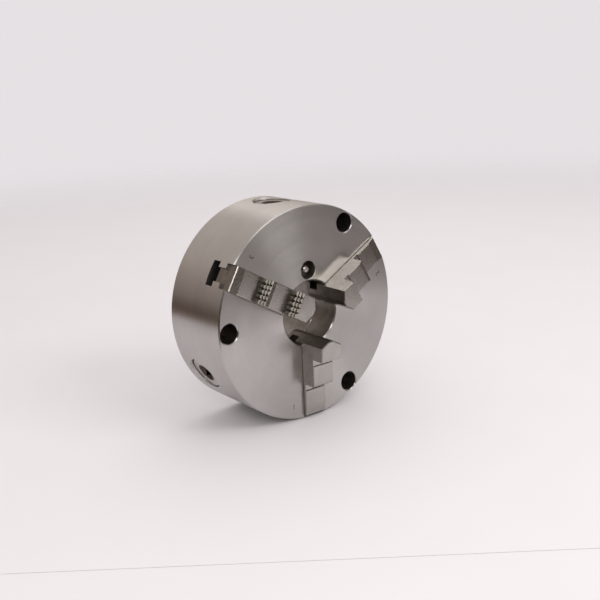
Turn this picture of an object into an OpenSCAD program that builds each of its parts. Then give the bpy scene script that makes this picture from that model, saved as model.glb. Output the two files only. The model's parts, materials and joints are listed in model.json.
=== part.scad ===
// Three-jaw self-centring scroll chuck, front mounted.
//
// Every part is drawn on the chuck axis with z running from the rear mounting face (z = 0)
// to the front face (z = body_t), x to the right and y up as seen from the front.
// stand() then turns that axis level: the front face looks along -Y and +Z is up.
// Angles are counted anticlockwise from +X as seen from the front.
//
// A clockwise key turns a pinion, the pinion turns the scroll by the bevel ring on its back,
// and the spiral on the front of the scroll draws the three jaws in together.

/* [Body] */
// Outside diameter of the body
body_d = 192; // [186:1:240]
// Body length from the mounting face to the front face
body_t = 75; // [73:1:100]
// Through bore
bore_d = 58; // [44:1:70]
// Wall of the hub that carries the scroll
hub_wall = 7; // [5:0.5:9]
// Front web, from the front face back to the scroll cavity
web_t = 22.8; // [21.8:0.2:24]
// Chamfer on both outer edges of the body
rim_chamfer = 1; // [0.4:0.1:3]
// Chamfer at both ends of the through bore
bore_chamfer = 1; // [0.4:0.1:2.5]

/* [Mounting] */
// Register bore in the back that seats on the adaptor plate
register_d = 155; // [150:0.5:158]
// Depth of the register bore
register_depth = 5; // [3:0.5:7]
// Circle through the three mounting holes
bolt_pcd = 172; // [170:0.5:174]
// Clearance hole for a mounting bolt
bolt_hole_d = 11; // [9:0.5:11.5]
// Counterbore for the head of a mounting bolt
bolt_head_d = 17.5; // [15:0.5:18]
// Height of the bolt-head seat above the mounting face
bolt_seat = 39; // [20:1:60]

/* [Jaws] */
// Width of a jaw
jaw_w = 22; // [18:0.5:27]
// Diameter of the circle that touches the three jaw noses
grip_d = 39.6; // [38:0.2:46]
// Length of a jaw from its nose to its outer end
jaw_len = 73.2; // [70:0.2:78]
// Width of the flat at the tip of the nose
nose_flat = 5; // [3:0.5:8]
// Height of the inner step above the front face
step_1_h = 28; // [24:0.5:32]
// Height of the middle step above the front face
step_2_h = 16; // [12:0.5:20]
// Height of the outer step above the front face
step_3_h = 4; // [2.5:0.5:7]
// Wall of the inner step, measured from the nose
wall_1_x = 17.7; // [15:0.1:20]
// Wall of the middle step, measured from the nose
wall_2_x = 43.4; // [40:0.2:48]
// Width of the relief groove at the foot of each step wall
relief_w = 6; // [3:0.5:8]
// Depth of the relief grooves
relief_depth = 1.1; // [1.1:0.1:1.5]
// Depth of the gripping teeth cut in the step walls
grip_tooth = 1.3; // [0.6:0.1:1.6]
// Chamfer along the front edges of the jaws
edge_break = 0.8; // [0.3:0.1:1]
// Width of the jaw between its two guide grooves
neck_w = 12.4; // [10:0.2:14]
// Depth below the front face where the guide grooves start
guide_top = 8.5; // [7:0.5:10]
// Width of a guide groove, along the chuck axis
guide_w = 10; // [8:0.5:10.5]
// Length of the toothed lower block, from the nose
block_len = 54.5; // [50:0.5:60]
// Sliding clearance on each side of a jaw
jaw_fit = 0.05; // [0.03:0.01:0.1]

/* [Scroll] */
// Outside diameter of the scroll
scroll_d = 136; // [110:1:140]
// Jaw travel for one turn of the scroll
scroll_pitch = 8; // [7:0.5:9]
// Height of the spiral rib and of the jaw teeth
thread_h = 5; // [4:0.5:5.5]
// Thickness of a jaw tooth on its centre line
tooth_t = 3.8; // [3:0.1:4]
// Clearance between a jaw tooth and the spiral rib, on each side
thread_fit = 0.25; // [0.2:0.05:0.4]
// Running clearance between the scroll and the hub
hub_fit = 0.05; // [0.03:0.01:0.1]
// Wall of the sleeve behind the scroll
sleeve_wall = 10; // [6:0.5:12]

/* [Bevel drive] */
// Teeth of the bevel ring on the back of the scroll (a multiple of three)
ring_teeth = 66; // [60:3:72]
// Teeth of a pinion
pinion_teeth = 10; // [9:1:10]
// Depth of the pinion axis below the front face
pinion_depth = 48; // [47:0.5:50]
// Diameter of the pinion journal
journal_d = 25.9; // [25.6:0.1:27]
// Diameter of the collar round the key socket
collar_d = 32.4; // [30:0.2:33]
// Radial clearance of the journal in the body
journal_fit = 0.05; // [0.03:0.01:0.1]
// Square socket for the key, across the flats
key_square = 12; // [9:0.5:13]
// Depth of the key socket
key_depth = 24; // [15:1:25]
// How far the pinion end lies inside the body's outside diameter
pinion_recess = 2.6; // [1.5:0.1:3.2]

/* [Cover and screws] */
// Thickness of the rear cover
cover_t = 6; // [5:0.5:6.5]
// Number of cover screws
cover_screw_count = 6; // [6]
// Circle through the cover screws
cover_screw_pcd = 145; // [144:0.5:146]
// Thread diameter of the cover screws
cover_screw_d = 4; // [4:0.5:5]
// Length of a cover screw under its head
cover_screw_len = 10; // [8:1:16]
// Thread diameter of the pinion retaining screws
pin_screw_d = 6; // [5:1:8]
// Length of the threaded part of a retaining screw
pin_screw_len = 9; // [6:1:10]
// Distance of a retaining screw inside the body's outside diameter
pin_screw_inset = 11; // [11:0.5:13]

/* [Grease nipple] */
// Distance of the nipple outside the through bore
nipple_inset = 10; // [10:0.5:12]
// Recess around the nipple
nipple_recess_d = 16; // [13:0.5:17]
// Depth of that recess
nipple_recess_depth = 13; // [12:0.5:14]
// Thread diameter of the nipple
nipple_d = 6; // [5:1:8]

/* [Hidden] */
$fn = 96;
eps = 0.5;                                  // how far a cut or a joined piece runs past a face

// Places round the axis
jaw_az = [270, 30, 150];
pinion_az = [90, 210, 330];
bolt_az = [60, 180, 300];
nipple_az = 90;
cover_screw_az = 360 / cover_screw_count;

// Body
body_r = body_d / 2;
bore_r = bore_d / 2;
bore_relief = 0.35;                         // the bore is opened out between the jaw slots
front_bore_r = bore_r + bore_relief;
hub_r = bore_r + hub_wall;
register_r = register_d / 2;
cover_step = 0.7;                           // the cover's seat is stepped in from the register
cover_r = register_r - cover_step;
cavity_top = body_t - web_t;
cavity_gap = 0.3;                           // between the scroll's rim and the body
cover_top = register_depth + cover_t;
hole_chamfer = 0.8;
mouth_chamfer = 1.9;                        // round the mouth of each pinion bore
slot_chamfer = 0.4;                         // along the front edges of the jaw slots
thread_bite = 0.1;                          // radial overlap of a screw and its tapped hole

// Jaws
nose_r = grip_d / 2;
nose_slope = 30;                            // of each nose face, from square across
nose_x = (jaw_w - nose_flat) / 2 * tan(nose_slope);
guide_bottom = guide_top + guide_w;
neck_gap = 0.15;                            // beside the neck, so the jaw's sides do the guiding
lip_w = 4;                                  // falling strip on the middle step
end_w = 8;                                  // falling strip at the outer end
strip_step = 0.5;                           // down to each falling strip
lip_drop = 1.1;                             // down to its outer edge
grip_rows = 5;
grip_levels = [3, 7, 11];                   // cross grooves, above the step below

// Scroll
scroll_r = scroll_d / 2;
scroll_bore_r = hub_r + hub_fit;
cavity_r = scroll_r + cavity_gap;
sleeve_r = scroll_bore_r + sleeve_wall;
rib_gap = 0.5;                              // over the ribs and over the tips of the jaw teeth
rib_top = cavity_top - rib_gap;
thread_floor = rib_top - thread_h;
rib_t = scroll_pitch - tooth_t - 2 * thread_fit;
tooth_inset = 12.2;                         // first tooth of jaw 2, from its nose
tooth_count = 5;
tooth_tip = thread_floor + rib_gap;
block_bottom = cavity_top;
slot_bottom = tooth_tip - 0.2;
tooth_outer_arc = 32;                       // tighter than the spiral's innermost turn
tooth_inner_arc = 80;                       // flatter than its outermost turn

// Bevel drive: every flank is a ray from the point where the pinion axes meet
apex_z = body_t - pinion_depth;
gear_ratio = ring_teeth / pinion_teeth;
pressure = 25;
unit = 2 / ring_teeth;                      // module for each unit of distance from the apex
ring_add = 0.75;
ring_ded = 1.25;
pinion_add = 0.95;
pinion_ded = 1.1;
flank_gap = 0.0025;                         // backlash of one flank, per unit of distance
ring_out = scroll_r - 0.5;
ring_in = sleeve_r - 1;
plate_back = apex_z + ring_out * (1 / gear_ratio + ring_ded * unit) + 1;
bevel_out = scroll_r + 0.4;
bevel_in = sleeve_r + 1.5;
pinion_bore_r = journal_d / 2 + journal_fit;
pinion_end = body_r - pinion_recess;
collar_h = 3.6;
collar_gap = 0.4;                           // round the collar
collar_seat = pinion_end - collar_h;
mouth_r = collar_d / 2 + collar_gap;
socket_mouth = 3.2;                         // countersink of the key socket
pin_screw_r = body_r - pin_screw_inset;
dog_d = pin_screw_d - 1.6;
groove_w = dog_d + 0.8;
groove_depth = 2.4;
dog_gap = 0.3;

// Rear cover and its cap screws
cover_fit = 0.05;
head_d = 1.75 * cover_screw_d;
head_h = cover_screw_d;
head_gap = 0.25;

// Grease nipple
nipple_r = bore_r + nipple_inset;
nipple_seat = body_t - nipple_recess_depth;
nipple_thread = 5.5;
nipple_hex = 7;
nipple_duct_d = 3;
ball_d = 2.6;
spring_wire = 0.4;

STEEL = [0.70, 0.68, 0.66];
GROUND = [0.78, 0.76, 0.74];
HARD = [0.60, 0.57, 0.54];
DARK = [0.22, 0.22, 0.23];
BRASS = [0.80, 0.76, 0.66];

// Turns the chuck axis level, front face towards -Y
module stand() {
    rotate([90, 0, 0]) children();
}

// Puts a radial piece at angle az, its own x running outwards
module at(az) {
    rotate([0, 0, az]) children();
}

// A bar along z with a diamond section: a V-groove where its centre line lies on a wall,
// and a chamfer where it lies on a corner
module v_bar(depth, len) {
    rotate([0, 0, 45]) cube([depth * sqrt(2), depth * sqrt(2), len], center = true);
}

// ---------------------------------------------------------------- body

module body_profile() {
    polygon([
        [bore_r, register_depth + bore_chamfer],
        [bore_r + bore_chamfer, register_depth],
        [hub_r, register_depth],
        [hub_r, cavity_top],
        [cavity_r, cavity_top],
        [cavity_r, cover_top],
        [cover_r, cover_top],
        [cover_r, register_depth],
        [register_r, register_depth],
        [register_r, rim_chamfer / 2],
        [register_r + rim_chamfer / 2, 0],
        [body_r - rim_chamfer, 0],
        [body_r, rim_chamfer],
        [body_r, body_t - rim_chamfer],
        [body_r - rim_chamfer, body_t],
        [front_bore_r + bore_chamfer, body_t],
        [front_bore_r, body_t - bore_chamfer],
        [front_bore_r, slot_bottom],
        [bore_r, slot_bottom - bore_relief]
    ]);
}

// Radial slot of a jaw: wide, narrow at the guides, wide again for the toothed block
module jaw_slot() {
    wide = jaw_w / 2 + jaw_fit;
    narrow = neck_w / 2 + neck_gap;
    half = [
        [wide, slot_bottom],
        [wide, body_t - guide_bottom],
        [narrow, body_t - guide_bottom],
        [narrow, body_t - guide_top],
        [wide, body_t - guide_top],
        [wide, body_t - slot_chamfer],
        [wide + slot_chamfer + eps, body_t + eps]
    ];
    mirrored = [for (i = [len(half) - 1 : -1 : 0]) [-half[i][0], half[i][1]]];
    rotate([90, 0, 90]) linear_extrude(body_r + eps) polygon(concat(half, mirrored));
}

module bolt_hole() {
    translate([bolt_pcd / 2, 0, -eps]) cylinder(d = bolt_hole_d, h = body_t + 2 * eps);
    translate([bolt_pcd / 2, 0, bolt_seat]) cylinder(d = bolt_head_d, h = body_t);
    translate([bolt_pcd / 2, 0, body_t - hole_chamfer])
        cylinder(d1 = bolt_head_d, d2 = bolt_head_d + 2 * (hole_chamfer + eps), h = hole_chamfer + eps);
}

module pinion_bore() {
    translate([cavity_r - 5, 0, apex_z]) rotate([0, 90, 0])
        cylinder(r = pinion_bore_r, h = body_r);
    translate([collar_seat - collar_gap, 0, apex_z]) rotate([0, 90, 0])
        cylinder(r = mouth_r, h = body_r);
    translate([body_r - mouth_chamfer, 0, apex_z]) rotate([0, 90, 0])
        cylinder(r1 = mouth_r, r2 = mouth_r + 2 * mouth_chamfer, h = 2 * mouth_chamfer);
}

module pin_screw_hole() {
    translate([pin_screw_r, 0, -eps])
        cylinder(d = pin_screw_d - 2 * thread_bite, h = apex_z - pinion_bore_r + 1 + eps);
    translate([pin_screw_r, 0, -eps])
        cylinder(d1 = pin_screw_d + 2 * eps, d2 = pin_screw_d - 2 * thread_bite, h = eps + hole_chamfer);
}

module cover_screw_hole() {
    translate([cover_screw_pcd / 2, 0, cover_top - eps])
        cylinder(d = cover_screw_d - 2 * thread_bite, h = cover_screw_len + eps);
}

module nipple_hole() {
    translate([nipple_r, 0, nipple_seat]) cylinder(d = nipple_recess_d, h = nipple_recess_depth + eps);
    translate([nipple_r, 0, nipple_seat - nipple_thread - 1])
        cylinder(d = nipple_d - 2 * thread_bite, h = nipple_thread + 1 + eps);
    translate([nipple_r, 0, cavity_top - eps]) cylinder(d = nipple_duct_d, h = nipple_recess_depth);
    translate([nipple_r, 0, body_t - hole_chamfer / 2])
        cylinder(d1 = nipple_recess_d, d2 = nipple_recess_d + hole_chamfer + 2 * eps, h = hole_chamfer / 2 + eps);
}

module body() {
    color(STEEL) stand() difference() {
        rotate_extrude($fn = 256) body_profile();
        for (az = jaw_az) at(az) jaw_slot();
        for (az = bolt_az) at(az) bolt_hole();
        for (az = pinion_az) at(az) {
            pinion_bore();
            pin_screw_hole();
        }
        for (i = [0 : cover_screw_count - 1]) at(i * cover_screw_az) cover_screw_hole();
        at(nipple_az) nipple_hole();
    }
}

// ---------------------------------------------------------------- rear cover and its screws

module rear_cover() {
    seat_z = register_depth + head_h + head_gap;
    color(GROUND) stand() difference() {
        translate([0, 0, register_depth]) cylinder(r = cover_r - cover_fit, h = cover_t, $fn = 256);
        translate([0, 0, register_depth - eps]) cylinder(r = hub_r + cover_fit, h = cover_t + 2 * eps);
        for (i = [0 : cover_screw_count - 1]) at(i * cover_screw_az) {
            translate([cover_screw_pcd / 2, 0, register_depth - eps])
                cylinder(d = cover_screw_d + 0.4, h = cover_t + 2 * eps);
            translate([cover_screw_pcd / 2, 0, register_depth - eps])
                cylinder(d = head_d + 0.4, h = seat_z - register_depth + eps);
        }
    }
}

// Socket-head cap screw, its head towards the rear
module cover_screw(i) {
    seat_z = register_depth + head_h + head_gap;
    color(DARK) stand() at(i * cover_screw_az) translate([cover_screw_pcd / 2, 0, 0]) difference() {
        union() {
            translate([0, 0, seat_z - head_h]) cylinder(d = head_d, h = head_h);
            translate([0, 0, seat_z]) cylinder(d = cover_screw_d, h = cover_screw_len - eps);
        }
        translate([0, 0, seat_z - head_h - eps])
            cylinder(d = 0.87 * cover_screw_d, h = head_h / 2 + eps, $fn = 6);
    }
}

// ---------------------------------------------------------------- scroll

// Middle of the spiral groove at angle az: it moves out by one pitch for each turn
function groove_r(az) = nose_r + tooth_inset + scroll_pitch * (az - jaw_az[1]) / 360;

// One edge of the spiral rib, side = -1 inside and +1 outside
function rib_edge(angles, side) = [
    for (az = angles) (groove_r(az) + scroll_pitch / 2 + side * rib_t / 2) * [cos(az), sin(az)]
];

module spiral_rib() {
    step = 4;
    turns_in = ceil((nose_r + tooth_inset - scroll_bore_r) / scroll_pitch) + 1;
    turns_out = ceil((scroll_r - nose_r - tooth_inset) / scroll_pitch) + 1;
    outward = [for (az = [-360 * turns_in : step : 360 * turns_out]) az];
    inward = [for (az = [360 * turns_out : -step : -360 * turns_in]) az];
    intersection() {
        translate([0, 0, thread_floor - eps]) linear_extrude(thread_h + eps)
            polygon(concat(rib_edge(outward, 1), rib_edge(inward, -1)));
        difference() {
            translate([0, 0, thread_floor - eps]) cylinder(r = scroll_r, h = thread_h + 2 * eps);
            translate([0, 0, thread_floor - 2 * eps]) cylinder(r = scroll_bore_r, h = thread_h + 4 * eps);
        }
    }
}

// Edges of the ring's straight-sided teeth: [angle, slope of the ray from the apex]
ring_step = 360 / ring_teeth;
ring_half = ring_step / 4 - flank_gap * 180 / PI;
function flank_lean(addendum) = addendum * unit * tan(pressure) * 180 / PI;
ring_stations = [
    for (i = [0 : ring_teeth - 1])
        let (mid = pinion_az[0] + (i + 0.5) * ring_step)
        let (tip = ring_half - flank_lean(ring_add), root = ring_half + flank_lean(ring_ded))
        for (edge = [[-root, ring_ded], [-tip, -ring_add], [tip, -ring_add], [root, ring_ded]])
            [mid + edge[0], 1 / gear_ratio + edge[1] * unit]
];

function ring_point(r, station) = [r * cos(station[0]), r * sin(station[0]), apex_z + r * station[1]];
function ring_top(r, station) = [r * cos(station[0]), r * sin(station[0]), plate_back + 2];

module bevel_ring() {
    n = len(ring_stations);
    points = [
        for (s = ring_stations) each [
            ring_point(ring_in, s), ring_point(ring_out, s), ring_top(ring_out, s), ring_top(ring_in, s)
        ]
    ];
    faces = [
        for (i = [0 : n - 1]) for (k = [0 : 3])
            [4 * i + k, 4 * i + (k + 1) % 4, 4 * ((i + 1) % n) + (k + 1) % 4, 4 * ((i + 1) % n) + k]
    ];
    polyhedron(points, faces);
}

module scroll_plate() {
    rotate_extrude($fn = 192) polygon([
        [scroll_bore_r, cover_top + 0.1],
        [sleeve_r, cover_top + 0.1],
        [sleeve_r, plate_back],
        [scroll_r, plate_back],
        [scroll_r, thread_floor],
        [scroll_bore_r, thread_floor]
    ]);
}

module scroll() {
    color(HARD) stand() union() {
        scroll_plate();
        spiral_rib();
        bevel_ring();
    }
}

// ---------------------------------------------------------------- pinions

function inv_deg(a) = tan(a) * 180 / PI - a;

// Half angle of a pinion tooth at radius r, for a pitch radius pitch_r
function tooth_half(r, pitch_r) =
    let (base_r = pitch_r * cos(pressure))
    90 / pinion_teeth - flank_gap * gear_ratio * 180 / PI
        + inv_deg(pressure) - inv_deg(acos(min(1, base_r / r)));

// Outline of the pinion's large end; the first tooth points along x
function pinion_outline(pitch_r) =
    let (size = 2 * pitch_r / pinion_teeth)
    let (base_r = pitch_r * cos(pressure), tip_r = pitch_r + pinion_add * size)
    let (root_r = pitch_r - pinion_ded * size, steps = 4)
    let (flank = [for (i = [0 : steps]) let (r = base_r + (tip_r - base_r) * i / steps) [r, tooth_half(r, pitch_r)]])
    let (foot = [root_r, tooth_half(base_r, pitch_r) + 0.5])
    let (left = concat([foot], flank))
    [
        for (t = [0 : pinion_teeth - 1]) each concat(
            [for (p = left) p[0] * [cos(t * 360 / pinion_teeth - p[1]), sin(t * 360 / pinion_teeth - p[1])]],
            [for (i = [len(left) - 1 : -1 : 0]) let (p = left[i])
                p[0] * [cos(t * 360 / pinion_teeth + p[1]), sin(t * 360 / pinion_teeth + p[1])]]
        )
    ];

module pinion_journal() {
    r = journal_d / 2;
    low = pin_screw_r - groove_w / 2;
    high = pin_screw_r + groove_w / 2;
    rotate_extrude() polygon([
        [0, bevel_out],
        [r, bevel_out],
        [r, low],
        [r - groove_depth, low],
        [r - groove_depth, high],
        [r, high],
        [r, collar_seat],
        [collar_d / 2, collar_seat],
        [collar_d / 2, pinion_end - hole_chamfer],
        [collar_d / 2 - hole_chamfer, pinion_end],
        [0, pinion_end]
    ]);
}

module pinion(az) {
    color(HARD) stand() at(az) translate([0, 0, apex_z]) difference() {
        union() {
            rotate([0, 90, 0]) pinion_journal();
            translate([bevel_out + eps, 0, 0]) rotate([0, -90, 0])
                linear_extrude(bevel_out + eps - bevel_in, scale = bevel_in / (bevel_out + eps))
                    polygon(pinion_outline((bevel_out + eps) / gear_ratio));
        }
        translate([pinion_end - key_depth, -key_square / 2, -key_square / 2])
            cube([key_depth + eps, key_square, key_square]);
        translate([pinion_end - socket_mouth, 0, 0]) rotate([0, 90, 0])
            cylinder(r1 = key_square / 2, r2 = key_square / 2 + socket_mouth + eps, h = socket_mouth + eps);
    }
}

// Dog-point set screw: its point runs in the journal's groove and keeps the pinion in
module pinion_screw(az) {
    bore_z = apex_z - pinion_bore_r;
    dog_top = apex_z - journal_d / 2 + groove_depth - dog_gap;
    color(DARK) stand() at(az) translate([pin_screw_r, 0, 0]) difference() {
        union() {
            translate([0, 0, bore_z - 1 - pin_screw_len]) cylinder(d = pin_screw_d, h = pin_screw_len);
            translate([0, 0, bore_z - 1 - eps]) cylinder(d = dog_d, h = dog_top - bore_z + 1 + eps);
        }
        translate([0, 0, bore_z - 1 - pin_screw_len - eps])
            cylinder(d = 0.58 * pin_screw_d, h = 3 + eps, $fn = 6);
    }
}

// ---------------------------------------------------------------- jaws

// Side outline of the stepped upper part: x from the nose, z from the front face
function jaw_side() = [
    [0, -guide_top + jaw_fit],
    [0, step_1_h],
    [wall_1_x, step_1_h],
    [wall_1_x, step_2_h - relief_depth],
    [wall_1_x + relief_w, step_2_h - relief_depth],
    [wall_1_x + relief_w, step_2_h],
    [wall_2_x - lip_w, step_2_h],
    [wall_2_x - lip_w, step_2_h - strip_step],
    [wall_2_x, step_2_h - lip_drop],
    [wall_2_x, step_3_h - relief_depth],
    [wall_2_x + relief_w, step_3_h - relief_depth],
    [wall_2_x + relief_w, step_3_h],
    [jaw_len - end_w, step_3_h],
    [jaw_len - end_w, step_3_h - strip_step],
    [jaw_len, step_3_h - lip_drop],
    [jaw_len, -guide_top + jaw_fit]
];

module jaw_blank() {
    rotate([90, 0, 0]) linear_extrude(jaw_w, center = true) polygon(jaw_side());
    translate([0, -neck_w / 2, -guide_bottom - eps]) cube([jaw_len, neck_w, guide_w + 2 * eps]);
    translate([0, -jaw_w / 2, block_bottom - body_t])
        cube([block_len, jaw_w, web_t - guide_bottom - jaw_fit]);
}

// Plan of the jaw: a blunt wedge for a nose, so that the three noses can meet
module jaw_plan() {
    translate([0, 0, -web_t - 2 * eps]) linear_extrude(web_t + step_1_h + 4 * eps) polygon([
        [0, -nose_flat / 2],
        [nose_x, -jaw_w / 2],
        [nose_x, -jaw_w],
        [jaw_len + eps, -jaw_w],
        [jaw_len + eps, jaw_w],
        [nose_x, jaw_w],
        [nose_x, jaw_w / 2],
        [0, nose_flat / 2]
    ]);
}

// Crossed grooves that leave rows of blunt teeth on a step wall at x
module grip_cuts(x, foot, top) {
    low = foot - relief_depth - eps;
    for (i = [1 : grip_rows - 1])
        translate([x, (i - grip_rows / 2) * jaw_w / grip_rows, (low + top + eps) / 2])
            v_bar(grip_tooth, top + eps - low);
    for (level = grip_levels)
        translate([x, 0, foot + level]) rotate([90, 0, 0]) v_bar(grip_tooth, jaw_w + 2 * eps);
}

// Chamfers along the front edges: both sides of every step, round the nose and at the outer end
module edge_breaks() {
    nose_edge = (jaw_w - nose_flat) / 2 / cos(nose_slope);
    for (side = [-1, 1]) {
        for (step = [
            [nose_x, wall_1_x + eps, step_1_h],
            [wall_1_x + relief_w / 2, wall_2_x + eps, step_2_h],
            [wall_2_x + relief_w / 2, jaw_len + eps, step_3_h]
        ])
            translate([(step[0] + step[1]) / 2, side * jaw_w / 2, step[2]]) rotate([0, 90, 0])
                v_bar(edge_break, step[1] - step[0]);
        translate([nose_x / 2, side * (jaw_w + nose_flat) / 4, step_1_h])
            rotate([0, 90, side * (90 - nose_slope)]) v_bar(edge_break, nose_edge + eps);
    }
    translate([0, 0, step_1_h]) rotate([90, 0, 0]) v_bar(edge_break, nose_flat + eps);
    translate([jaw_len, 0, step_3_h - lip_drop]) rotate([90, 0, 0]) v_bar(edge_break, jaw_w + 2 * eps);
}

// Crescent tooth at radius r, curved so that it clears every turn of the spiral
module jaw_tooth(r) {
    difference() {
        intersection() {
            translate([r - 6, -jaw_w / 2, tooth_tip]) cube([12, jaw_w, block_bottom + eps - tooth_tip]);
            translate([r + tooth_t / 2 - tooth_outer_arc, 0, tooth_tip - eps])
                cylinder(r = tooth_outer_arc, h = thread_h + 4 * eps);
        }
        translate([r - tooth_t / 2 - tooth_inner_arc, 0, tooth_tip - eps])
            cylinder(r = tooth_inner_arc, h = thread_h + 4 * eps);
    }
}

// The three jaws differ only in their teeth, which step out by a third of a pitch
module jaw(k) {
    first = nose_r + tooth_inset + (k - 1) * scroll_pitch / 3;
    color(GROUND) stand() at(jaw_az[k]) union() {
        translate([nose_r, 0, body_t]) difference() {
            intersection() {
                jaw_blank();
                jaw_plan();
            }
            grip_cuts(wall_1_x, step_2_h, step_1_h);
            grip_cuts(wall_2_x, step_3_h, step_2_h - lip_drop);
            edge_breaks();
        }
        for (i = [0 : tooth_count - 1]) jaw_tooth(first + i * scroll_pitch);
    }
}

// ---------------------------------------------------------------- grease nipple

nipple_top = nipple_recess_depth - 2;       // height of the nipple above its seat
nipple_mouth_r = 0.8;
nipple_passage_r = ball_d / 2 + 0.1;
valve_seat = nipple_top - 1.2;
ball_z = valve_seat - sqrt(ball_d * ball_d / 4 - nipple_mouth_r * nipple_mouth_r) - 0.02;

module at_nipple() {
    stand() at(nipple_az) translate([nipple_r, 0, nipple_seat]) children();
}

module grease_nipple() {
    head_r = nipple_d / 2 + 0.25;
    neck_r = head_r - 0.9;
    color(BRASS) at_nipple() difference() {
        union() {
            rotate_extrude($fn = 48) polygon([
                [0, -nipple_thread],
                [nipple_d / 2 - 0.4, -nipple_thread],
                [nipple_d / 2, -nipple_thread + 0.4],
                [nipple_d / 2, 1],
                [neck_r, 3],
                [neck_r, nipple_top - 4.2],
                [head_r, nipple_top - 2.6],
                [head_r, nipple_top - 1.6],
                [head_r - 1.2, nipple_top - 0.2],
                [head_r - 1.8, nipple_top],
                [0, nipple_top]
            ]);
            cylinder(d = nipple_hex / cos(30), h = 3, $fn = 6);
        }
        translate([0, 0, -nipple_thread - eps]) cylinder(r = nipple_mouth_r, h = nipple_top + nipple_thread + 2 * eps);
        translate([0, 0, -nipple_thread + 0.6])
            cylinder(r = nipple_passage_r, h = valve_seat + nipple_thread - 0.6);
    }
}

module nipple_ball() {
    color(GROUND) at_nipple() translate([0, 0, ball_z]) sphere(d = ball_d, $fn = 48);
}

// Sweeps a round wire round a helix of the given coil radius between two heights
module coil(coil_r, wire_d, low, high, turns) {
    sides = 8;
    rings = turns * 16;
    points = [
        for (i = [0 : rings]) for (j = [0 : sides - 1])
            let (a = i * 22.5, b = j * 360 / sides, r = coil_r + wire_d / 2 * cos(b))
            [r * cos(a), r * sin(a), low + (high - low) * i / rings + wire_d / 2 * sin(b)]
    ];
    skin = [
        for (i = [0 : rings - 1]) for (j = [0 : sides - 1])
            let (a = i * sides + j, b = i * sides + (j + 1) % sides)
            each [[a, a + sides, b + sides], [a, b + sides, b]]
    ];
    caps = [[for (j = [0 : sides - 1]) j], [for (j = [sides - 1 : -1 : 0]) rings * sides + j]];
    polyhedron(points, concat(skin, caps));
}

module nipple_spring() {
    low = -nipple_thread + 0.6 + spring_wire / 2;
    high = ball_z - ball_d / 2 - spring_wire / 2 + 0.35;
    color(STEEL) at_nipple() coil(nipple_passage_r - spring_wire / 2 - 0.15, spring_wire, low, high, 6);
}

body();
rear_cover();
cover_screw(0);  // cover_screw_1
cover_screw(1);  // cover_screw_2
cover_screw(2);  // cover_screw_3
cover_screw(3);  // cover_screw_4
cover_screw(4);  // cover_screw_5
cover_screw(5);  // cover_screw_6
scroll();
pinion(pinion_az[0]);  // pinion_1
pinion(pinion_az[1]);  // pinion_2
pinion(pinion_az[2]);  // pinion_3
pinion_screw(pinion_az[0]);  // pinion_screw_1
pinion_screw(pinion_az[1]);  // pinion_screw_2
pinion_screw(pinion_az[2]);  // pinion_screw_3
jaw(0);  // jaw_1
jaw(1);  // jaw_2
jaw(2);  // jaw_3
grease_nipple();
nipple_ball();
nipple_spring();
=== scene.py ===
"""Looks of a front-mounted three-jaw scroll chuck: materials, stamped jaw numbers, studio and camera."""

import json
import math

import bpy
from mathutils import Matrix, Vector


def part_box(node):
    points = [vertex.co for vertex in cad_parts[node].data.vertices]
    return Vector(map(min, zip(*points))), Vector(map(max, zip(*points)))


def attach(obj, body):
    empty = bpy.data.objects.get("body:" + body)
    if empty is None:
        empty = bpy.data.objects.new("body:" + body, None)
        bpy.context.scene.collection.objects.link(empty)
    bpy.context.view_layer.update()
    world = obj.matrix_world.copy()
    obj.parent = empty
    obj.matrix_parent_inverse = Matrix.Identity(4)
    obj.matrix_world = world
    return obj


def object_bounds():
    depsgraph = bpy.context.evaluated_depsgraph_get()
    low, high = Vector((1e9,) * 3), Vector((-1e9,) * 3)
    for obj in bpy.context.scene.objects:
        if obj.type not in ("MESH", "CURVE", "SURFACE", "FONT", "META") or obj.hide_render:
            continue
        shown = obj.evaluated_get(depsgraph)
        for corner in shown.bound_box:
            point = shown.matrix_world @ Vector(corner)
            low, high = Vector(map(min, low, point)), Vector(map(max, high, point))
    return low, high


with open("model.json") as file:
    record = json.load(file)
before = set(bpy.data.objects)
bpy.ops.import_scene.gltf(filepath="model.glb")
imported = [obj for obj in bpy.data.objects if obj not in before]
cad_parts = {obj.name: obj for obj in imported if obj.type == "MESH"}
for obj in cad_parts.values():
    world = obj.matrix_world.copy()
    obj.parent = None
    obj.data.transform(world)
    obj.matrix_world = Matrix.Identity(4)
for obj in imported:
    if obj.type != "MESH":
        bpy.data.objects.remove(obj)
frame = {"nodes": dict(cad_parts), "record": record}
cad_low, cad_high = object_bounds()

MM = 0.001
BODY_LOW, BODY_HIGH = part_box("body")
RADIUS = BODY_HIGH.x                      # outside radius of the body
FRONT_Y = BODY_LOW.y                      # plane of the front face, which looks along -Y
REAR_Y = BODY_HIGH.y
JAW_ANGLES = {"jaw_1": 270, "jaw_2": 30, "jaw_3": 150}
PINION_ANGLES = {"pinion_1": 90, "pinion_2": 210, "pinion_3": 330}
BOLT_ANGLES = (60, 180, 300)


def mount(name):
    """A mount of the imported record."""
    return next(m for m in frame["record"]["mounts"] if m["name"] == name)


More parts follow.
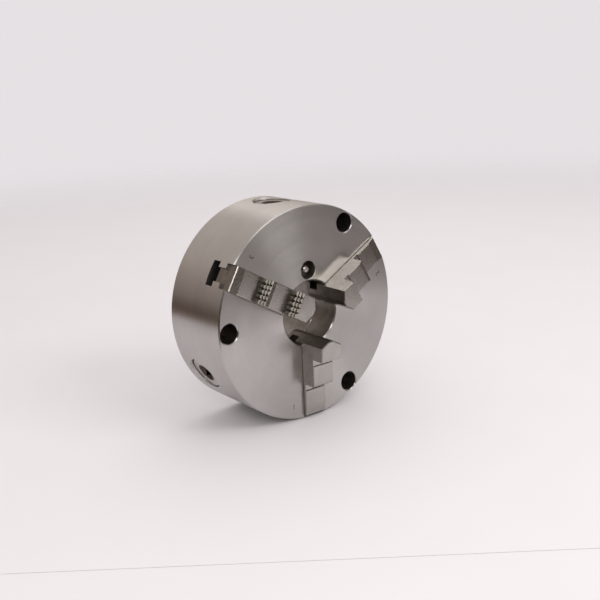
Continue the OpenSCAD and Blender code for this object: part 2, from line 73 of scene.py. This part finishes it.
BORE_R = mount("through_bore")["dims"]["r_mm"] * MM
BOLT_CIRCLE_R = mount("mounting_holes")["dims"]["pcd_mm"] / 2 * MM
BORE_WALL_R = BORE_R + 0.6 * MM           # faces inside this radius are the wall of the bore
BORE_WALL_TILT = 0.3                      # and their normals lean less than this along Y
BOLT_HOLE_R = 9.6 * MM                    # mouth of a counterbore, with its chamfer
BOLT_HOLE_CHAMFER = 0.9 * MM
DEEP_HOLES_R = BOLT_CIRCLE_R - 12 * MM    # outside this radius, holes have the drilled finish
PINION_Y = sum(p.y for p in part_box("pinion_1")) / 2
# Holes inside this radius take the bore's darker colour, which is painted shade.
PINION_HOLE_R = 16.9 * MM
PINION_HOLE_END_R = 40 * MM               # how far in a pinion bore reaches
PINION_HOLE_MOUTH = 2.6 * MM              # below the rim, a pinion bore's chamfer ends
PINION_HEAD = 7 * MM                      # faces deeper than this below the rim aren't the head
SOCKET_R = 9.3 * MM                       # mouth of the key socket
SOCKET_FLOOR_R = 69 * MM
NIPPLE_LOW, NIPPLE_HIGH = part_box("grease_nipple")
NIPPLE_Z = (NIPPLE_LOW.z + NIPPLE_HIGH.z) / 2
NIPPLE_HOLE_R = 8.05 * MM
NIPPLE_CHAMFER = 0.5 * MM
SLOT_HALF_WIDTH = 11.3 * MM               # of a jaw slot, with a little room
SLOT_FLOOR_Y = -46 * MM
SLOT_CHAMFER = 0.6 * MM
SLOT_MOUTH = 0.5 * MM                     # where a slot opens into the bore
SLOT_END = 0.3 * MM                       # where a slot opens in the rim
JAW_TAIL = 4.5 * MM                       # the jaw's outer end lies this close to the rim
JAW_SUNK = 0.1 * MM                       # a face of the jaw this far below the front is hidden


# ---------------------------------------------------------------- node helpers

WORN_EDGE = 0.2 * MM                      # radius of the worn edges


class Graph:
    """A material's node tree, with short calls to add and join nodes."""

    def __init__(self, name):
        self.material = bpy.data.materials.new(name)
        self.material.use_nodes = True
        self.tree = self.material.node_tree
        self.tree.nodes.clear()
        self.shader = self.add("ShaderNodeBsdfPrincipled")
        output = self.add("ShaderNodeOutputMaterial")
        self.join(self.shader.outputs[0], output.inputs[0])

    def add(self, kind, **values):
        node = self.tree.nodes.new(kind)
        for key, value in values.items():
            setattr(node, key, value)
        return node

    def join(self, source, target):
        self.tree.links.new(source, target)

    def put(self, value, socket):
        """A number, colour or another node's output goes into a socket."""
        if isinstance(value, bpy.types.NodeSocket):
            self.join(value, socket)
        else:
            socket.default_value = value

    def math(self, operation, a, b=0.0, c=0.0):
        node = self.add("ShaderNodeMath", operation=operation)
        for value, socket in zip((a, b, c), node.inputs):
            self.put(value, socket)
        return node.outputs[0]

    def vector(self, x=0.0, y=0.0, z=0.0):
        node = self.add("ShaderNodeCombineXYZ")
        for value, socket in zip((x, y, z), node.inputs):
            self.put(value, socket)
        return node.outputs[0]

    def place(self, degrees=0.0):
        """Object coordinates in millimetres, turned about the chuck axis."""
        coords = self.add("ShaderNodeTexCoord")
        turn = self.add("ShaderNodeMapping", vector_type="POINT")
        turn.inputs["Rotation"].default_value = (0, math.radians(degrees), 0)
        turn.inputs["Scale"].default_value = (1000, 1000, 1000)
        self.join(coords.outputs["Object"], turn.inputs["Vector"])
        split = self.add("ShaderNodeSeparateXYZ")
        self.join(turn.outputs[0], split.inputs[0])
        return split.outputs

    def noise(self, vector, scale=1.0, detail=2.0, roughness=0.5):
        node = self.add("ShaderNodeTexNoise")
        self.join(vector, node.inputs["Vector"])
        node.inputs["Scale"].default_value = scale
        node.inputs["Detail"].default_value = detail
        node.inputs["Roughness"].default_value = roughness
        return node.outputs[0]

    def ramp(self, value, low, high, to_low=0.0, to_high=1.0):
        node = self.add("ShaderNodeMapRange")
        names = ("Value", "From Min", "From Max", "To Min", "To Max")
        for name, number in zip(names, (value, low, high, to_low, to_high)):
            self.put(number, node.inputs[name])
        return node.outputs[0]

    def blend(self, factor, a, b):
        node = self.add("ShaderNodeMix", data_type="RGBA")
        self.put(factor, node.inputs[0])
        self.put(a, node.inputs[6])
        self.put(b, node.inputs[7])
        return node.outputs[2]

    def finish(self, colour, roughness, height, depth):
        """Colour, roughness and relief of a metal surface. Its edges are worn round."""
        edge = self.add("ShaderNodeBevel", samples=4)
        edge.inputs["Radius"].default_value = WORN_EDGE
        bump = self.add("ShaderNodeBump")
        bump.inputs["Strength"].default_value = 1.0
        bump.inputs["Distance"].default_value = depth
        self.join(height, bump.inputs["Height"])
        self.join(edge.outputs[0], bump.inputs["Normal"])
        self.join(bump.outputs[0], self.shader.inputs["Normal"])
        self.put(colour, self.shader.inputs["Base Color"])
        self.put(roughness, self.shader.inputs["Roughness"])
        self.shader.inputs["Metallic"].default_value = 1.0
        return self.material


def rgb(r, g, b):
    return (r, g, b, 1.0)


def turned_steel(name, light, dark, rough, stretch):
    """Steel turned about the chuck axis: rings on faces, lines round cylinders."""
    g = Graph(name)
    x, y, z = g.place()
    radius = g.math("SQRT", g.math("ADD", g.math("MULTIPLY", x, x), g.math("MULTIPLY", z, z)))
    along = g.math("ADD", radius, g.math("MULTIPLY", y, 1.37))
    lap = g.math("ARCTAN2", z, x)
    fine = g.noise(g.vector(along, g.math("MULTIPLY", lap, 0.6)), 5.0, 3.0, 0.6)
    bands = g.noise(g.vector(along, g.math("MULTIPLY", lap, 0.25)), 0.35, 3.0, 0.5)
    stain = g.noise(g.vector(x, y, z), 0.035, 4.0, 0.55)
    across = g.vector(g.math("MULTIPLY", x, 0.4), g.math("MULTIPLY", y, 9.0), g.math("MULTIPLY", z, 0.5))
    scratch = g.noise(across, 1.0, 1.0)
    tone = g.math("ADD", g.math("MULTIPLY", bands, 0.35), g.math("MULTIPLY", stain, 0.65))
    colour = g.blend(g.ramp(tone, 0.35, 0.65), rgb(*dark), rgb(*light))
    marked = g.math("ADD", g.math("MULTIPLY", fine, 0.6), g.math("MULTIPLY", scratch, 0.4))
    wear = g.ramp(marked, 0.3, 0.7, -1.0, 1.0)
    spread = g.ramp(bands, 0.3, 0.7, -1.0, 1.0)
    change = g.math("ADD", g.math("MULTIPLY", wear, 0.02), g.math("MULTIPLY", spread, 0.025))
    roughness = g.math("ADD", rough, change)
    tangent = g.add("ShaderNodeTangent", direction_type="RADIAL", axis="Y")
    g.join(tangent.outputs[0], g.shader.inputs["Tangent"])
    g.shader.inputs["Anisotropic"].default_value = stretch
    g.shader.inputs["Anisotropic Rotation"].default_value = 0.25
    return g.finish(colour, roughness, fine, 0.0008 * MM)


def ground_steel(name, degrees, light, dark, rough, stretch):
    """Steel ground along the jaw: straight fine lines that run outwards."""
    g = Graph(name)
    x, y, z = g.place(degrees)
    along_x = g.vector(g.math("MULTIPLY", x, 0.12), g.math("MULTIPLY", y, 6.0), g.math("MULTIPLY", z, 6.0))
    lines = g.noise(along_x, 1.0, 3.0, 0.6)
    patches = g.noise(g.vector(x, y, z), 0.12, 3.0, 0.5)
    tone = g.math("ADD", g.math("MULTIPLY", lines, 0.4), g.math("MULTIPLY", patches, 0.6))
    colour = g.blend(g.ramp(tone, 0.35, 0.65), rgb(*dark), rgb(*light))
    roughness = g.ramp(lines, 0.3, 0.7, rough - 0.04, rough + 0.05)
    along = g.vector(math.cos(math.radians(degrees)), 0.0, math.sin(math.radians(degrees)))
    g.join(along, g.shader.inputs["Tangent"])
    g.shader.inputs["Anisotropic"].default_value = stretch
    g.shader.inputs["Anisotropic Rotation"].default_value = 0.25
    return g.finish(colour, roughness, lines, 0.001 * MM)


def machined_steel(name, light, dark, rough, grain=2.0, depth=0.006):
    """Plain machined or plated metal with an even fine grain."""
    g = Graph(name)
    x, y, z = g.place()
    where = g.vector(x, y, z)
    grainy = g.noise(where, grain, 4.0, 0.65)
    patches = g.noise(where, grain / 12, 3.0, 0.5)
    colour = g.blend(g.ramp(patches, 0.35, 0.65), rgb(*dark), rgb(*light))
    roughness = g.ramp(grainy, 0.3, 0.7, rough - 0.06, rough + 0.06)
    return g.finish(colour, roughness, grainy, depth * MM)


# ---------------------------------------------------------------- materials on the CAD nodes

def polar(degrees, distance, y=0.0):
    """A point round the chuck axis."""
    angle = math.radians(degrees)
    return Vector((distance * math.cos(angle), y, distance * math.sin(angle)))


def off_axis(point, start, direction):
    """How far a point is from a line."""
    return (point - start).cross(direction).length


def drilled(point):
    """True inside a bolt hole, a pinion bore or the nipple's recess.

    The nipple's test has no limit in depth, so it also takes a part of the hub's rear face.
    """
    if any((point - polar(a, BOLT_CIRCLE_R, point.y)).length < BOLT_HOLE_R for a in BOLT_ANGLES):
        return FRONT_Y + BOLT_HOLE_CHAMFER < point.y < REAR_Y - BOLT_HOLE_CHAMFER
    if (point - Vector((0, point.y, NIPPLE_Z))).length < NIPPLE_HOLE_R:
        return point.y > FRONT_Y + NIPPLE_CHAMFER
    within = PINION_HOLE_END_R < math.hypot(point.x, point.z) < RADIUS - PINION_HOLE_MOUTH
    start = Vector((0, PINION_Y, 0))
    return within and any(
        off_axis(point, start, polar(a, 1)) < PINION_HOLE_R for a in PINION_ANGLES.values()
    )


def in_slot(point):
    """True on the walls and floor of a jaw slot."""
    radius = math.hypot(point.x, point.z)
    if point.y < FRONT_Y + SLOT_CHAMFER or radius < BORE_R + SLOT_MOUTH:
        return False
    for angle in JAW_ANGLES.values():
        out = point.dot(polar(angle, 1))
        if out > 0 and off_axis(point, Vector((0, point.y, 0)), polar(angle, 1)) < SLOT_HALF_WIDTH:
            return radius < RADIUS - SLOT_END and point.y < SLOT_FLOOR_Y
    return False


def dress(node, *materials):
    """Gives a CAD node its materials, the first one on every face."""
    data = frame["nodes"][node].data
    data.materials.clear()
    for material in materials:
        data.materials.append(material)
    return data


def dress_body():
    turned = turned_steel("turned_steel", (0.55, 0.53, 0.515), (0.49, 0.472, 0.457), 0.33, 0.9)
    # Painted shade: the bore wall and the inner holes get a darker colour standing in for the shade inside
    # them. The higher roughness is the bored finish.
    bore_shade = machined_steel("bored_steel_painted_shade", (0.29, 0.268, 0.247), (0.21, 0.193, 0.178), 0.40, 1.5)
    milled = machined_steel("milled_steel", (0.42, 0.40, 0.38), (0.30, 0.285, 0.27), 0.38, 3.0)
    holes = machined_steel("drilled_steel", (0.42, 0.39, 0.36), (0.30, 0.28, 0.255), 0.34, 1.2, 0.01)
    data = dress("body", turned, bore_shade, milled, holes)
    for face in data.polygons:
        centre = Vector(face.center)
        radius = math.hypot(centre.x, centre.z)
        if radius < BORE_WALL_R and abs(face.normal.y) < BORE_WALL_TILT:
            face.material_index = 1
        elif drilled(centre):
            face.material_index = 3 if radius > DEEP_HOLES_R else 1
        elif in_slot(centre):
            face.material_index = 2
        else:
            face.material_index = 0
    dress("rear_cover", turned_steel("cover_steel", (0.62, 0.605, 0.59), (0.54, 0.525, 0.51), 0.3, 0.6))


def dress_jaws():
    """Ground faces and sides. The step walls, the ends and the faces below the front get rougher steel,
    darkened with painted shade.
    """
    # Painted shade: the darker colour on the walls, the ends, the inward faces and the faces below the
    # front stands in for their shade and dark reflections. The higher roughness is a cut finish.
    cut_with_shade = machined_steel("cut_steel_painted_shade", (0.25, 0.23, 0.205), (0.18, 0.165, 0.145), 0.32, 2.0)
    for jaw, angle in JAW_ANGLES.items():
        light, dark = (0.45, 0.43, 0.405), (0.40, 0.38, 0.355)
        ground = ground_steel(f"{jaw}_steel", angle, light, dark, 0.25, 0.5)
        data = dress(jaw, ground, cut_with_shade)
        outward = polar(angle, 1)
        for face in data.polygons:
            facing = face.normal.dot(outward)
            wall = facing > 0.6 and face.center.dot(outward) < RADIUS - JAW_TAIL
            end = facing > 0.95 or facing < -0.3
            sunk = min(data.vertices[v].co.y for v in face.vertices) > FRONT_Y + JAW_SUNK
            face.material_index = 1 if wall or end or sunk else 0


def dress_gears():
    """The scroll, and the pinions with their bright heads and key sockets darkened with painted shade."""
    gear = machined_steel("gear_steel", (0.36, 0.34, 0.32), (0.26, 0.245, 0.23), 0.34, 2.5)
    dress("scroll", gear)
    head = machined_steel("journal_steel", (0.50, 0.48, 0.455), (0.40, 0.38, 0.36), 0.30, 2.5)
    # Painted shade: the key socket's near-black colour stands in for the shade inside the recess.
    socket = machined_steel("socket_painted_shade", (0.10, 0.082, 0.068), (0.055, 0.046, 0.038), 0.30, 1.5)
    for node, angle in PINION_ANGLES.items():
        data = dress(node, gear, head, socket)
        outward = polar(angle, 1)
        for face in data.polygons:
            out = face.center.dot(outward)
            central = (face.center - outward * out - Vector((0, PINION_Y, 0))).length < SOCKET_R
            if out < RADIUS - PINION_HEAD:
                face.material_index = 2 if central and out > SOCKET_FLOOR_R else 0
            else:
                face.material_index = 2 if central and face.normal.dot(outward) < 0.95 else 1


def dress_small_parts():
    oxide = machined_steel("black_oxide", (0.055, 0.055, 0.06), (0.03, 0.03, 0.032), 0.45, 4.0)
    for node in frame["nodes"]:
        if "_screw_" in node:
            dress(node, oxide)
    zinc = machined_steel("zinc_plate", (0.80, 0.79, 0.76), (0.66, 0.65, 0.62), 0.28, 5.0, 0.003)
    for node in ("grease_nipple", "nipple_ball"):
        dress(node, zinc)
    wire = machined_steel("spring_steel", (0.58, 0.57, 0.55), (0.45, 0.44, 0.42), 0.35, 6.0, 0.003)
    dress("nipple_spring", wire)


# ---------------------------------------------------------------- stamped numbers

NUMBER_R = 85 * MM                        # how far out a number stands
NUMBER_LAG = 15.5                         # degrees clockwise of its jaw
NUMBER_SIZE = 6.8 * MM
NUMBER_RELIEF = 0.02 * MM


def stamp_numbers():
    """The number of each jaw beside its slot near the rim, as a thin dark sheet whose colour is the
    painted shade of a stamped mark.
    """
    # Painted shade: the dark colour stands in for the shade in the stamped recess.
    stamp_shade = machined_steel("stamp_shadow", (0.11, 0.10, 0.095), (0.07, 0.065, 0.06), 0.6, 6.0)
    for number, (jaw, angle) in enumerate(JAW_ANGLES.items(), start=1):
        curve = bpy.data.curves.new(f"number_{number}", "FONT")
        curve.body = str(number)
        curve.size = NUMBER_SIZE
        curve.align_x = "CENTER"
        curve.align_y = "CENTER"
        curve.extrude = NUMBER_RELIEF
        letter = bpy.data.objects.new(f"number_{number}_curve", curve)
        bpy.context.scene.collection.objects.link(letter)
        bpy.context.view_layer.update()
        mesh = bpy.data.meshes.new_from_object(letter)
        bpy.data.objects.remove(letter)
        spin = math.radians(angle + 90)
        turn = Matrix.Rotation(-spin, 4, "Y") @ Matrix.Rotation(math.pi / 2, 4, "X")
        spot = polar(angle - NUMBER_LAG, NUMBER_R, FRONT_Y)
        mesh.transform(Matrix.Translation(spot) @ turn)
        mesh.materials.clear()
        mesh.materials.append(stamp_shade)
        stamp = bpy.data.objects.new(f"jaw_number_{number}", mesh)
        bpy.context.scene.collection.objects.link(stamp)
        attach(stamp, "body")


# ---------------------------------------------------------------- studio

BACKDROP = (0.79, 0.755, 0.775)
PAPER = (0.80, 0.775, 0.785)
PAPER_R = 0.525                           # the white of the floor, as the steel mirrors it
PAPER_FRONT = 0.30                        # straight front edge of the paper
VIEW = Vector((0.619, 0.785, 0.0))        # level direction of the view
FLOOR_R = 3.0
FLOOR_BELOW = 0.0002                      # the floor lies this far below the paper
FLOOR_FADE = (0.9, 2.4)                   # distances between which the floor fades

# The room as the steel mirrors it: tones from straight down (0) to straight up (1), first the side
# behind the chuck, then the side before it. They were typed from measured ratios of tone.
ROOM_BEHIND = (
    (0.0, (0.37, 0.25, 0.19)),
    (0.375, (0.37, 0.25, 0.19)),
    (0.40, (0.29, 0.18, 0.13)),
    (0.42, (0.17, 0.10, 0.073)),
    (0.44, (0.10, 0.067, 0.049)),
    (0.46, (0.10, 0.08, 0.061)),
    (0.485, (0.20, 0.157, 0.127)),
    (0.505, (0.277, 0.223, 0.194)),
    (0.525, (0.356, 0.294, 0.254)),
    (0.57, (0.427, 0.356, 0.318)),
    (0.62, (0.45, 0.38, 0.34)),
    (0.685, (0.49, 0.42, 0.37)),
    (0.75, (0.63, 0.545, 0.485)),
    (0.80, (0.62, 0.555, 0.505)),
    (1.0, (0.78, 0.73, 0.69)),
)
ROOM_BEFORE = (
    (0.0, (0.10, 0.07, 0.055)),
    (0.44, (0.10, 0.07, 0.055)),
    (0.475, (0.07, 0.058, 0.048)),
    (0.515, (0.10, 0.088, 0.078)),
    (0.60, (0.18, 0.165, 0.152)),
    (0.72, (0.28, 0.262, 0.245)),
    (0.85, (0.5, 0.47, 0.445)),
    (1.0, (0.78, 0.73, 0.69)),
)
ROOM_BLEND = (-0.15, 0.45)                # Y of the direction where one side turns into the other

AMBIENT = (1.0, 0.965, 0.98)
AMBIENT_FROM = (0.0, 0.10)                # height of the direction, strength of the light
AMBIENT_TO = (0.7, 0.95)


def flat_material(name, colour, roughness):
    g = Graph(name)
    x, y, z = g.place()
    soft = g.noise(g.vector(x, y, z), 0.01, 2.0)
    shade = rgb(*[c * 0.985 for c in colour])
    g.put(g.blend(g.ramp(soft, 0.3, 0.7), shade, rgb(*colour)), g.shader.inputs["Base Color"])
    g.shader.inputs["Roughness"].default_value = roughness
    return g.material


def disc(name, radius, z, material, front=None, segments=96):
    """A flat round sheet. With front, it has a straight edge there, square to the view."""
    ring = []
    for step in range(segments):
        angle = step * math.tau / segments
        point = Vector((radius * math.cos(angle), radius * math.sin(angle), z))
        if front is not None and point.dot(VIEW) < -front:
            point -= VIEW * (point.dot(VIEW) + front)
        ring.append(point)
    mesh = bpy.data.meshes.new(name)
    mesh.from_pydata(ring, [], [tuple(range(segments))])
    mesh.materials.append(material)
    obj = bpy.data.objects.new(name, mesh)
    bpy.context.scene.collection.objects.link(obj)
    return obj


def fading_paper(name, colour, inner, outer):
    """Paper that fades into the pale backdrop between two distances from the chuck."""
    material = flat_material(name, colour, 0.7)
    tree = material.node_tree
    shader = next(n for n in tree.nodes if n.type == "BSDF_PRINCIPLED")
    output = next(n for n in tree.nodes if n.type == "OUTPUT_MATERIAL")
    coords = tree.nodes.new("ShaderNodeTexCoord")
    length = tree.nodes.new("ShaderNodeVectorMath")
    length.operation = "LENGTH"
    tree.links.new(coords.outputs["Object"], length.inputs[0])
    fade = tree.nodes.new("ShaderNodeMapRange")
    fade.interpolation_type = "SMOOTHERSTEP"
    fade.inputs["From Min"].default_value = inner
    fade.inputs["From Max"].default_value = outer
    tree.links.new(length.outputs["Value"], fade.inputs["Value"])
    clear = tree.nodes.new("ShaderNodeBsdfTransparent")
    mix = tree.nodes.new("ShaderNodeMixShader")
    tree.links.new(fade.outputs[0], mix.inputs[0])
    tree.links.new(shader.outputs[0], mix.inputs[1])
    tree.links.new(clear.outputs[0], mix.inputs[2])
    tree.links.new(mix.outputs[0], output.inputs[0])
    return material


def build_floor():
    """A pale paper under the chuck. In the steel it ends at its edge, where the darker room begins."""
    floor_z = cad_low[2]
    disc("paper", PAPER_R, floor_z, flat_material("pale_paper", PAPER, 0.7), PAPER_FRONT)
    far = disc("floor", FLOOR_R, floor_z - FLOOR_BELOW, fading_paper("fading_paper", PAPER, *FLOOR_FADE))
    far.visible_glossy = False


def build_world():
    """The steel mirrors a darker room, diffuse light comes from above, and the camera sees pale paper."""
    world = bpy.data.worlds.new("studio")
    bpy.context.scene.world = world
    world.use_nodes = True
    tree = world.node_tree
    tree.nodes.clear()

    def add(kind, **values):
        node = tree.nodes.new(kind)
        for key, value in values.items():
            setattr(node, key, value)
        return node

    output = add("ShaderNodeOutputWorld")
    coords = add("ShaderNodeTexCoord")
    split = add("ShaderNodeSeparateXYZ")
    tree.links.new(coords.outputs["Generated"], split.inputs[0])
    lift = add("ShaderNodeMapRange")
    lift.inputs["From Min"].default_value = -1.0
    lift.inputs["From Max"].default_value = 1.0
    tree.links.new(split.outputs[2], lift.inputs["Value"])
    tones = []
    for stops in (ROOM_BEFORE, ROOM_BEHIND):
        tone = add("ShaderNodeValToRGB")
        ramp = tone.color_ramp
        while len(ramp.elements) < len(stops):
            ramp.elements.new(0.5)
        for element, (position, colour) in zip(ramp.elements, stops):
            element.position = position
            element.color = rgb(*colour)
        tree.links.new(lift.outputs[0], tone.inputs[0])
        tones.append(tone.outputs[0])
    facing = add("ShaderNodeMapRange")
    facing.interpolation_type = "SMOOTHSTEP"
    facing.inputs["From Min"].default_value = ROOM_BLEND[0]
    facing.inputs["From Max"].default_value = ROOM_BLEND[1]
    tree.links.new(split.outputs[1], facing.inputs["Value"])
    whole = add("ShaderNodeMix", data_type="RGBA")
    tree.links.new(facing.outputs[0], whole.inputs[0])
    tree.links.new(tones[0], whole.inputs[6])
    tree.links.new(tones[1], whole.inputs[7])
    room = add("ShaderNodeBackground")
    tree.links.new(whole.outputs[2], room.inputs[0])
    pale = add("ShaderNodeBackground")
    pale.inputs[0].default_value = rgb(*BACKDROP)
    ambient = add("ShaderNodeBackground")
    sky = add("ShaderNodeMapRange")
    for end, (height, strength) in (("Min", AMBIENT_FROM), ("Max", AMBIENT_TO)):
        sky.inputs[f"From {end}"].default_value = height
        sky.inputs[f"To {end}"].default_value = strength
    tree.links.new(split.outputs[2], sky.inputs["Value"])
    tree.links.new(sky.outputs[0], ambient.inputs[1])
    ambient.inputs[0].default_value = rgb(*AMBIENT)
    path = add("ShaderNodeLightPath")
    seen = add("ShaderNodeMixShader")
    tree.links.new(path.outputs["Is Camera Ray"], seen.inputs[0])
    tree.links.new(ambient.outputs[0], seen.inputs[1])
    tree.links.new(pale.outputs[0], seen.inputs[2])
    mix = add("ShaderNodeMixShader")
    tree.links.new(path.outputs["Is Glossy Ray"], mix.inputs[0])
    tree.links.new(seen.outputs[0], mix.inputs[1])
    tree.links.new(room.outputs[0], mix.inputs[2])
    tree.links.new(mix.outputs[0], output.inputs[0])


def softbox(name, position, aim, width, height, watts, colour=(1.0, 0.985, 0.96)):
    light = bpy.data.lights.new(name, "AREA")
    light.shape = "RECTANGLE"
    light.size = width
    light.size_y = height
    light.energy = watts
    light.color = colour
    obj = bpy.data.objects.new(name, light)
    bpy.context.scene.collection.objects.link(obj)
    obj.location = position
    obj.rotation_euler = (Vector(aim) - Vector(position)).to_track_quat("-Z", "Y").to_euler()
    obj.visible_camera = False


def build_lights():
    centre = (0, FRONT_Y / 2, 0)
    softbox("key", (0.42, -1.30, 0.98), centre, width=0.9, height=0.5, watts=8.0)
    softbox("above_camera", (-0.85, -1.0, 0.85), centre, width=0.4, height=0.3, watts=2.6)
    softbox("overhead", (0.75, 0.6, 1.3), centre, width=1.3, height=1.0, watts=3.5)


CAMERA_AT = (-0.4682, -0.6559, 0.2146)
CAMERA_TURN = (74.82, 2.41, -38.88)       # degrees about X, then Y, then Z
SENSOR = 36                               # mm
LENS = 53.03                              # mm


def build_camera():
    """A normal lens, 15 degrees above the chuck and 38 degrees to the left of its axis."""
    data = bpy.data.cameras.new("camera")
    data.sensor_width = SENSOR
    data.lens = LENS
    camera = bpy.data.objects.new("camera", data)
    bpy.context.scene.collection.objects.link(camera)
    camera.location = CAMERA_AT
    camera.rotation_euler = [math.radians(angle) for angle in CAMERA_TURN]
    bpy.context.scene.camera = camera


dress_body()
dress_jaws()
dress_gears()
dress_small_parts()
stamp_numbers()
build_floor()
build_world()
build_lights()
build_camera()
bpy.context.scene.view_settings.view_transform = "Standard"

bpy.context.view_layer.update()
